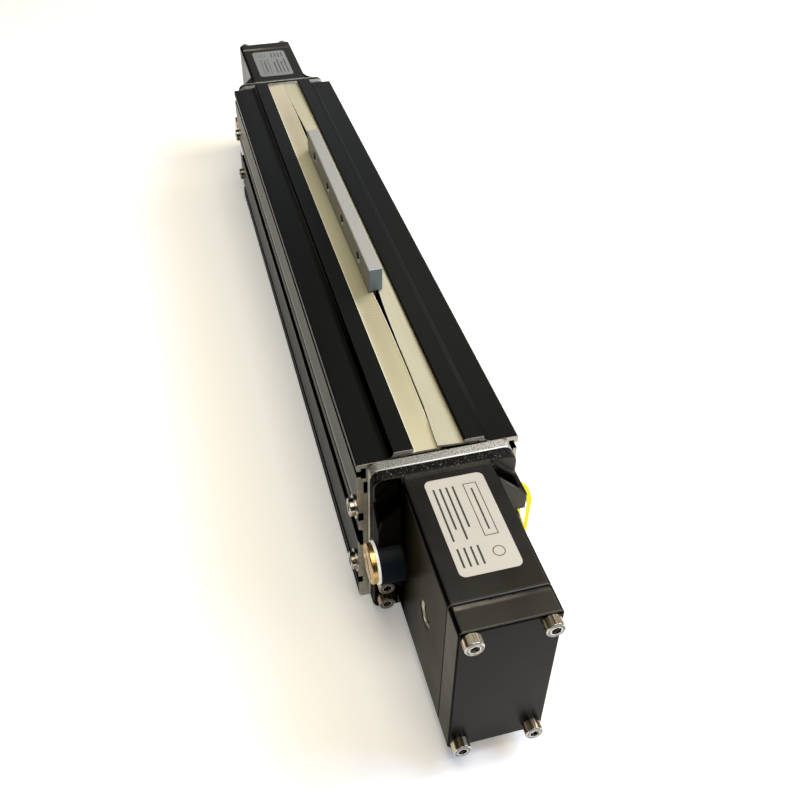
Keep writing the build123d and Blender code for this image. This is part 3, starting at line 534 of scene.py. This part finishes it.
# painted light: the white ring glows a little, though it is no lamp
nylon_painted_glow.b.inputs["Emission Color"].default_value = (0.95, 0.97, 1.0, 1)
nylon_painted_glow.b.inputs["Emission Strength"].default_value = 0.22
yellow = make_soft("yellow_plastic", (0.56, 0.49, 0.012), (0.66, 0.58, 0.03), 0.33, sss=0.15)
rubber = make_soft("rubber_black", (0.006, 0.006, 0.006), (0.012, 0.012, 0.012), 0.62, 900, 0.2)
gasket_m = make_soft("paper_gasket", (0.030, 0.028, 0.026), (0.050, 0.047, 0.044), 0.60, 900, 0.2)
acetal = make_soft("acetal_white", (0.62, 0.60, 0.52), (0.70, 0.68, 0.60), 0.40)
acetal_black = make_soft("acetal_black", (0.02, 0.02, 0.021), (0.03, 0.03, 0.031), 0.35)
magnet_m = make_metal("magnet_dark", (0.16, 0.16, 0.17), (0.22, 0.22, 0.23), 0.38)
# the left lip gets a lighter colour than the right one: painted light that offsets the shade on it
lip_l = make_lip("lip_plastic_left", (0.465, 0.42, 0.275), (0.505, 0.46, 0.305), "folds")
lip_r = make_lip("lip_plastic_right", (0.36, 0.33, 0.225), (0.40, 0.37, 0.258), "dimples")
# lighter and darker copies of the lip plastic: painted highlight on the lip edges where they part, painted shade on the
# walls below them
lip_painted_highlight = make_lip("lip_plastic_painted_highlight", (0.62, 0.60, 0.50), (0.70, 0.68, 0.58))
lip_painted_shade = make_lip("lip_plastic_painted_shade", (0.030, 0.027, 0.020), (0.045, 0.040, 0.030))
blade_m = make_blade()
label_m = make_label("label_foil", (0.42, 0.39, 0.33), (0.47, 0.44, 0.375))
label_g = make_label("label_foil_grey", (0.172, 0.176, 0.168), (0.224, 0.228, 0.220))
print_m = make_soft("print_ink", (0.012, 0.011, 0.010), (0.026, 0.024, 0.022), 0.5)
print_g = make_soft("print_ink_grey", (0.035, 0.035, 0.033), (0.06, 0.06, 0.057), 0.5)

RULES = [
    ("barrel", anodised), ("end_gasket", rubber), ("end_plate", plate_m), ("head", casting), ("cover_gasket", gasket_m),
    ("cover_screws", screw_m), ("flange_screws", fscrew_m), ("side_screws", nickel), ("side_washers", zinc),
    ("cover", casting_fine), ("port_ring", nylon_painted_glow), ("port_plug", brass), ("port_cap", yellow), ("label_near", label_m), ("label_far", label_g),
    ("end_plug", alu), ("end_oring", rubber), ("cushion_seal", rubber), ("band_clamp", alu), ("clamp_screw", steel),
    ("inner_band", steel), ("lip_left", lip_l), ("lip_right", lip_r), ("blade", blade_m), ("neck_guides", acetal), ("yoke_pins", steel),
    ("yoke", alu), ("magnets", magnet_m), ("piston_seal", rubber), ("piston_ring", acetal), ("piston_bumper", rubber),
    ("piston_bolt", steel), ("piston", acetal_black),
]
for name, obj in NODES.items():
    for key, mat in RULES:
        if name == key or name.startswith(key + "_"):
            paint(obj, mat)
            break
    else:
        raise SystemExit("no material for " + name)


# ------------------------------------------------------------------ mesh helpers
def mesh(name, verts, faces, mat, smooth=True, body="cylinder"):
    me = bpy.data.meshes.new(name)
    me.from_pydata([tuple(v) for v in verts], [], faces)
    me.validate()
    me.update()
    if smooth:
        me.shade_smooth()
    o = bpy.data.objects.new(name, me)
    bpy.context.scene.collection.objects.link(o)
    me.materials.append(mat.m)
    if body:
        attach(o, body)
    return o


# ------------------------------------------------------------------ sealing lips
BX0, BX1 = -83.0, 95.0
# x, left edge (y over the middle, z), right edge (y over the middle, z); y is negative where a lip crosses the middle
EDGES = [
    (-214.4, 0.01, 102.2, 0.01, 102.2), (-185.0, 0.02, 103.9, 0.02, 103.9), (-176.0, 0.09, 104.4, 0.09, 104.4), (-166.0, 0.18, 105.0, 0.18, 105.0),
    (-152.0, 0.26, 105.8, 0.25, 105.8), (-143.0, 0.32, 106.4, 0.31, 106.4), (-136.0, 0.43, 106.8, 0.42, 106.8),
    (-128.0, 0.62, 107.0, 0.58, 107.0), (-119.0, 0.79, 107.1, 0.75, 107.1), (-107.0, 0.98, 107.6, 0.92, 107.6),
    (-94.0, 1.28, 107.8, 1.22, 107.8), (-88.0, 1.50, 108.0, 1.45, 108.0), (-84.0, 1.62, 108.2, 1.60, 108.2),
    (-80.0, 1.66, 108.25, 1.66, 108.25), (92.0, 1.66, 108.25, 1.72, 108.25), (96.0, 1.60, 108.2, 1.68, 108.2),
    (100.0, 1.42, 107.9, 1.54, 107.9), (103.5, 1.24, 107.75, 1.36, 107.75), (108.0, 1.03, 107.6, 1.16, 107.6),
    (112.0, 0.90, 107.4, 1.03, 107.4), (117.0, 0.78, 107.2, 0.90, 107.2), (122.0, 0.66, 107.1, 0.78, 107.1),
    (130.0, 0.55, 106.85, 0.64, 106.85), (138.0, 0.44, 106.5, 0.50, 106.5), (147.0, 0.36, 106.3, 0.40, 106.3),
    (162.0, 0.30, 105.8, 0.32, 105.8), (172.0, 0.30, 105.1, 0.30, 105.1), (187.0, 0.28, 104.3, 0.28, 104.6),
    (195.0, 0.16, 103.3, 0.20, 104.1), (201.0, -0.20, 102.4, -0.20, 103.7), (207.0, -0.60, 101.9, -0.42, 103.3),
    (214.4, -0.90, 101.4, -0.60, 102.95),
]


def edge_at(side, x):
    """Position of a lip's inner edge: (y over the middle, z)."""
    k = 1 if side < 0 else 3
    for a, b in zip(EDGES, EDGES[1:]):
        if a[0] <= x <= b[0]:
            t = (x - a[0]) / (b[0] - a[0])
            return a[k] + (b[k] - a[k]) * t, a[k + 1] + (b[k + 1] - a[k + 1]) * t
    q = EDGES[0] if x < 0 else EDGES[-1]
    return q[k], q[k + 1]


THICK = [1.1, 1.12, 1.15, 1.18, 1.2, 1.2, 1.15]


def smooth_line(pts, n):
    """Catmull-Rom points through pts."""
    out = []
    p = [pts[0]] + list(pts) + [pts[-1]]
    for i in range(1, len(p) - 2):
        for j in range(n):
            t = j / n
            a, b, c, d = p[i - 1], p[i], p[i + 1], p[i + 2]
            out.append(tuple(0.5 * ((2 * b[k]) + (-a[k] + c[k]) * t + (2 * a[k] - 5 * b[k] + 4 * c[k] - d[k]) * t * t
                                    + (-a[k] + 3 * b[k] - 3 * c[k] + d[k]) * t ** 3) for k in range(len(b))))
    out.append(tuple(pts[-1]))
    return out


def lip_top(side, x):
    yi, zi = edge_at(side, x)
    zb = 101.45 + 0.12 * (zi - 101.4) + (0.25 if side > 0 and x > 190 else 0.0)
    run = zi - zb
    pts = [(-19.4, 101.0), (-16.5, 101.15 + 0.25 * (zb - 101.0)), (-12.95, zb)]
    for f, g in ((0.22, 0.17), (0.46, 0.43), (0.72, 0.72)):
        pts.append((-12.95 + (12.95 - yi) * f, zb + run * g))
    pts.append((-yi, zi))
    return smooth_line(pts, 4)


def crease(side, x, y):
    """Faint slanting fold marks where the lip closes behind the blade."""
    if side > 0:
        return 0.0
    w = math.exp(-((x - 118.0) / 13.0) ** 2) * math.exp(-((y + 7.5) / 4.5) ** 2)
    return 0.045 * w * math.sin(2 * math.pi * (x + 0.9 * y) / 3.1)


def lip_mesh(side, xs, near_cap):
    verts, faces, mats = [], [], []
    th = smooth_line([(t,) for t in THICK], 4)
    ring = None
    for x in xs:
        top = lip_top(side, x)
        n = len(top)
        pts = [(y, z + crease(side, x, y)) for y, z in top[:-1]]
        ye, ze = top[-1]
        te = th[-1][0]
        k = 1.0 if -140 < x < 200 else (0.25 if x < 0 else 0.8)
        pts += [(ye - 0.30 * k, ze), (ye - 0.08 * k, ze - 0.10 * k), (ye, ze - 0.32 * k), (ye, ze - 0.62), (ye - 0.25, ze - te)]
        for i in range(n - 2, -1, -1):
            y, z = top[i]
            pts.append((y, z - th[i][0]))
        m = len(pts)
        start = len(verts)
        for y, z in pts:
            verts.append((x * S, -side * y * S, z * S))
        if ring is not None:
            for i in range(m):
                j = (i + 1) % m
                f = (ring + i, ring + j, start + j, start + i)
                faces.append(f if side > 0 else f[::-1])
                # edge faces where the lips part get the painted highlight copy, the walls below get the painted shade
                # copy
                painted_highlight = 88 < x < 150 or -112 < x < -80 or x > 190
                mats.append((1 if painted_highlight else 0) if n - 1 <= i <= n + 1 else (2 if n + 2 <= i <= n + 3 else 0))
        ring = start
    m = len(verts) // len(xs)
    if near_cap:
        cap = list(range(len(verts) - m, len(verts)))
        faces.append(cap[::-1] if side < 0 else cap)
    else:
        cap = list(range(m))
        faces.append(cap if side < 0 else cap[::-1])
    mats.append(0)
    return verts, faces, mats


def stations(a, b, coarse):
    xs, x = [], a
    while x < b - 0.2:
        xs.append(x)
        near = min(abs(x - BX0), abs(x - BX1))
        if 97 < x < 142:
            x += 0.5
        else:
            x += 1.0 if near < 14 else (2.0 if near < 45 else coarse)
    xs.append(b)
    return xs


MID = 6.0
for side, label in ((-1, "left"), (1, "right")):
    lip_mat = lip_l if side < 0 else lip_r
    va, fa, ma = lip_mesh(side, stations(-214.4, MID, 4.0), False)
    a = mesh("lip_strip_%s_far" % label, va, fa, lip_mat, body=None)
    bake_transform(a)
    vb, fb, mb = lip_mesh(side, stations(MID, 214.4, 4.0), True)
    b = mesh("lip_strip_%s_near" % label, vb, fb, lip_mat, body=None)
    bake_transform(b)
    for o, mm in ((a, ma), (b, mb)):
        o.data.materials.append(lip_painted_highlight.m)
        o.data.materials.append(lip_painted_shade.m)
        for poly, k in zip(o.data.polygons, mm):
            poly.material_index = k
            poly.use_smooth = len(poly.vertices) == 4
    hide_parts("lip_" + label)
    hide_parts("lip_" + label)


# ------------------------------------------------------------------ inner steel band
BAND = [(-211.9, 71.9), (-64.5, 71.9), (-61.0, 71.3), (-57.0, 69.7), (-48.0, 65.4), (-44.5, 64.2), (-41.0, 63.8),
        (53.0, 63.8), (56.5, 64.2), (60.0, 65.4), (69.0, 69.7), (73.0, 71.3), (76.5, 71.9), (211.9, 71.9)]


def band_half(name, a, b):
    pts = [p for p in BAND if a < p[0] < b]
    if a <= BAND[0][0]:
        pts = [(a + i * (-68.0 - a) / 20, 71.9) for i in range(21)] + [p for p in pts if p[0] > -66] + [(b, 63.8)]
    else:
        pts = [(a, 63.8)] + [p for p in pts if p[0] < 78] + [(80.0 + i * (b - 80.0) / 20, 71.9) for i in range(21)]
    verts, faces = [], []
    for i, (x, z) in enumerate(pts):
        for y, dz in ((-7.8, -0.175), (7.8, -0.175), (7.8, 0.175), (-7.8, 0.175)):
            verts.append((x * S, y * S, (z + dz) * S))
        if i:
            k = 4 * i
            for j in range(4):
                faces.append((k - 4 + j, k - 4 + (j + 1) % 4, k + (j + 1) % 4, k + j))
    faces.append((3, 2, 1, 0))
    n = len(verts)
    faces.append((n - 4, n - 3, n - 2, n - 1))
    o = mesh(name, verts, faces, steel, smooth=False, body=None)
    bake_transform(o)
    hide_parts("inner_band")


band_half("steel_band_far", -211.9, 6.0)
band_half("steel_band_near", 6.0, 211.9)


# ------------------------------------------------------------------ generic print on the labels
def flat_marks(name, quads, mat, turn):
    """Thin flat marks; quads are lists of (x, y) in mm on the near label."""
    verts, faces = [], []
    for q in quads:
        k = len(q)
        st = len(verts)
        pts = [(-264.0 - (x - 259.5), -0.3 - (y - 0.8)) if turn else (x, y) for x, y in q]
        for z in (100.19, 100.225):
            verts += [(x * S, y * S, z * S) for x, y in pts]
        faces.append([st + k + i for i in range(k)])
        for i in range(k):
            j = (i + 1) % k
            faces.append([st + i, st + j, st + k + j, st + k + i])
    return mesh(name, verts, faces, mat, smooth=False)


def bar(x0, x1, y0, y1):
    return [(x0, y0), (x1, y0), (x1, y1), (x0, y1)]


def line(x0, y0, x1, y1, w):
    if abs(x1 - x0) >= abs(y1 - y0):
        return [(x0, y0 - w / 2), (x1, y1 - w / 2), (x1, y1 + w / 2), (x0, y0 + w / 2)]
    return [(x0 - w / 2, y0), (x0 + w / 2, y0), (x1 + w / 2, y1), (x1 - w / 2, y1)]


def box_outline(x0, x1, y0, y1, w):
    return [bar(x0, x1, y0 - w / 2, y0 + w / 2), bar(x0, x1, y1 - w / 2, y1 + w / 2),
            bar(x0 - w / 2, x0 + w / 2, y0 - w / 2, y1 + w / 2), bar(x1 - w / 2, x1 + w / 2, y0 - w / 2, y1 + w / 2)]


def ring_marks(cx, cy, r, w):
    out, n = [], 16
    for i in range(n):
        a, b = 2 * math.pi * i / n, 2 * math.pi * (i + 1) / n
        out.append([(cx + (r - w / 2) * math.cos(a), cy + (r - w / 2) * math.sin(a)), (cx + (r + w / 2) * math.cos(a), cy + (r + w / 2) * math.sin(a)),
                    (cx + (r + w / 2) * math.cos(b), cy + (r + w / 2) * math.sin(b)), (cx + (r - w / 2) * math.cos(b), cy + (r - w / 2) * math.sin(b))])
    return out


quads = []
# evenly spaced plain bars
for i, y in enumerate((-10.0, -7.0, -4.0, -1.0)):
    quads.append(bar(238.0, 262.0 if i % 2 else 268.0, y - 0.45, y + 0.45))
    quads.append(bar(272.0, 282.0, y - 0.45, y + 0.45))
# plain mark: a long frame with a bar in it, and one ring beside it
quads += box_outline(238.0, 268.0, 4.0, 10.0, 0.4) + [bar(241.0, 265.0, 6.6, 7.4)]
quads += ring_marks(277.0, 7.0, 2.6, 0.4)
flat_marks("label_print_near", quads, print_m, False)
flat_marks("label_print_far", quads, print_g, True)

# ------------------------------------------------------------------ stage, light, camera
bpy.ops.mesh.primitive_plane_add(size=14, location=(0, 0, -0.0002))
floor = bpy.context.object
floor.name = "floor"
fm = Mat("floor_pale", (0.88, 0.85, 0.79), 0.0, 0.8, 0.2)
fn = fm.noise(3, 3, 0.5)
fm.color(fm.mix(fm.span(fn, 0, 1), (0.875, 0.845, 0.785), (0.895, 0.865, 0.805)))
fm.b.inputs["Emission Color"].default_value = (0.985, 0.985, 1.0, 1)
fm.b.inputs["Emission Strength"].default_value = 0.27
paint(floor, fm)

world = bpy.data.worlds.new("studio")
bpy.context.scene.world = world
world.use_nodes = True
bg = world.node_tree.nodes["Background"]
bg.inputs["Color"].default_value = (0.75, 0.97, 0.92, 1)
bg.inputs["Strength"].default_value = 0.054


def area(name, loc, target, size, power, color=(1, 1, 1), size_y=None):
    d = bpy.data.lights.new(name, "AREA")
    d.shape = "RECTANGLE"
    d.size = size
    d.size_y = size_y or size
    d.energy = power
    d.color = color
    o = bpy.data.objects.new(name, d)
    bpy.context.scene.collection.objects.link(o)
    o.location = loc
    o.rotation_euler = (Vector(target) - Vector(loc)).to_track_quat("-Z", "Y").to_euler()
    return o


def aim(az, el, dist):
    a, e = math.radians(az), math.radians(el)
    return (-dist * math.cos(e) * math.cos(a), dist * math.cos(e) * math.sin(a), 0.08 + dist * math.sin(e))


area("key_right", aim(90, 40, 1.7), (0, 0, 0.08), 0.8, 18.6, (1.0, 0.95, 0.79))
area("key_sky", aim(110, 45, 1.7), (0, 0, 0.08), 0.8, 18.6, (0.29, 0.50, 1.0))
area("key_high", aim(90, 60, 1.7), (0, 0, 0.08), 0.8, 10.9, (1.0, 0.81, 0.57))
area("overhead", aim(180, 85, 1.7), (0, 0, 0.08), 0.9, 15.6, (1.0, 1.0, 0.9))
area("front_warm", aim(180, 60, 1.7), (0, 0, 0.08), 0.8, 6.8, (1.0, 0.79, 0.55))
area("card_low", aim(12, 8, 2.2), (0, 0, 0.08), 0.6, 0.39, (1.0, 0.88, 0.73))
area("card_mid", aim(12, 24, 2.2), (0, 0, 0.08), 0.6, 0.31, (0.83, 0.92, 1.0))
area("card_high", aim(25, 40, 2.0), (0, 0, 0.08), 0.6, 0.45, (1.0, 0.98, 0.9))

cam = bpy.data.cameras.new("camera")
cam.sensor_fit = "HORIZONTAL"
cam.sensor_width = 36.0
cam.lens = 915.0665 * 36.0 / 800.0
cam.shift_x = (400.0 - 371.0532) / 800.0
cam.shift_y = (337.4329 - 400.0) / 800.0
cam.clip_start = 0.01
cam.clip_end = 50
cam.dof.use_dof = False
co = bpy.data.objects.new("camera", cam)
bpy.context.scene.collection.objects.link(co)
right = Vector((0.244969, 0.969523, -0.003830))
down = Vector((0.607672, -0.156616, -0.778593))
fwd = Vector((-0.755464, 0.188403, -0.627518))
mw = Matrix.Identity(4)
for i in range(3):
    mw[i][0] = right[i]
    mw[i][1] = -down[i]
    mw[i][2] = -fwd[i]
mw[0][3], mw[1][3], mw[2][3] = 0.500720, -0.104003, 0.412508
co.matrix_world = mw
bpy.context.scene.camera = co
bpy.context.scene.view_settings.view_transform = "Standard"
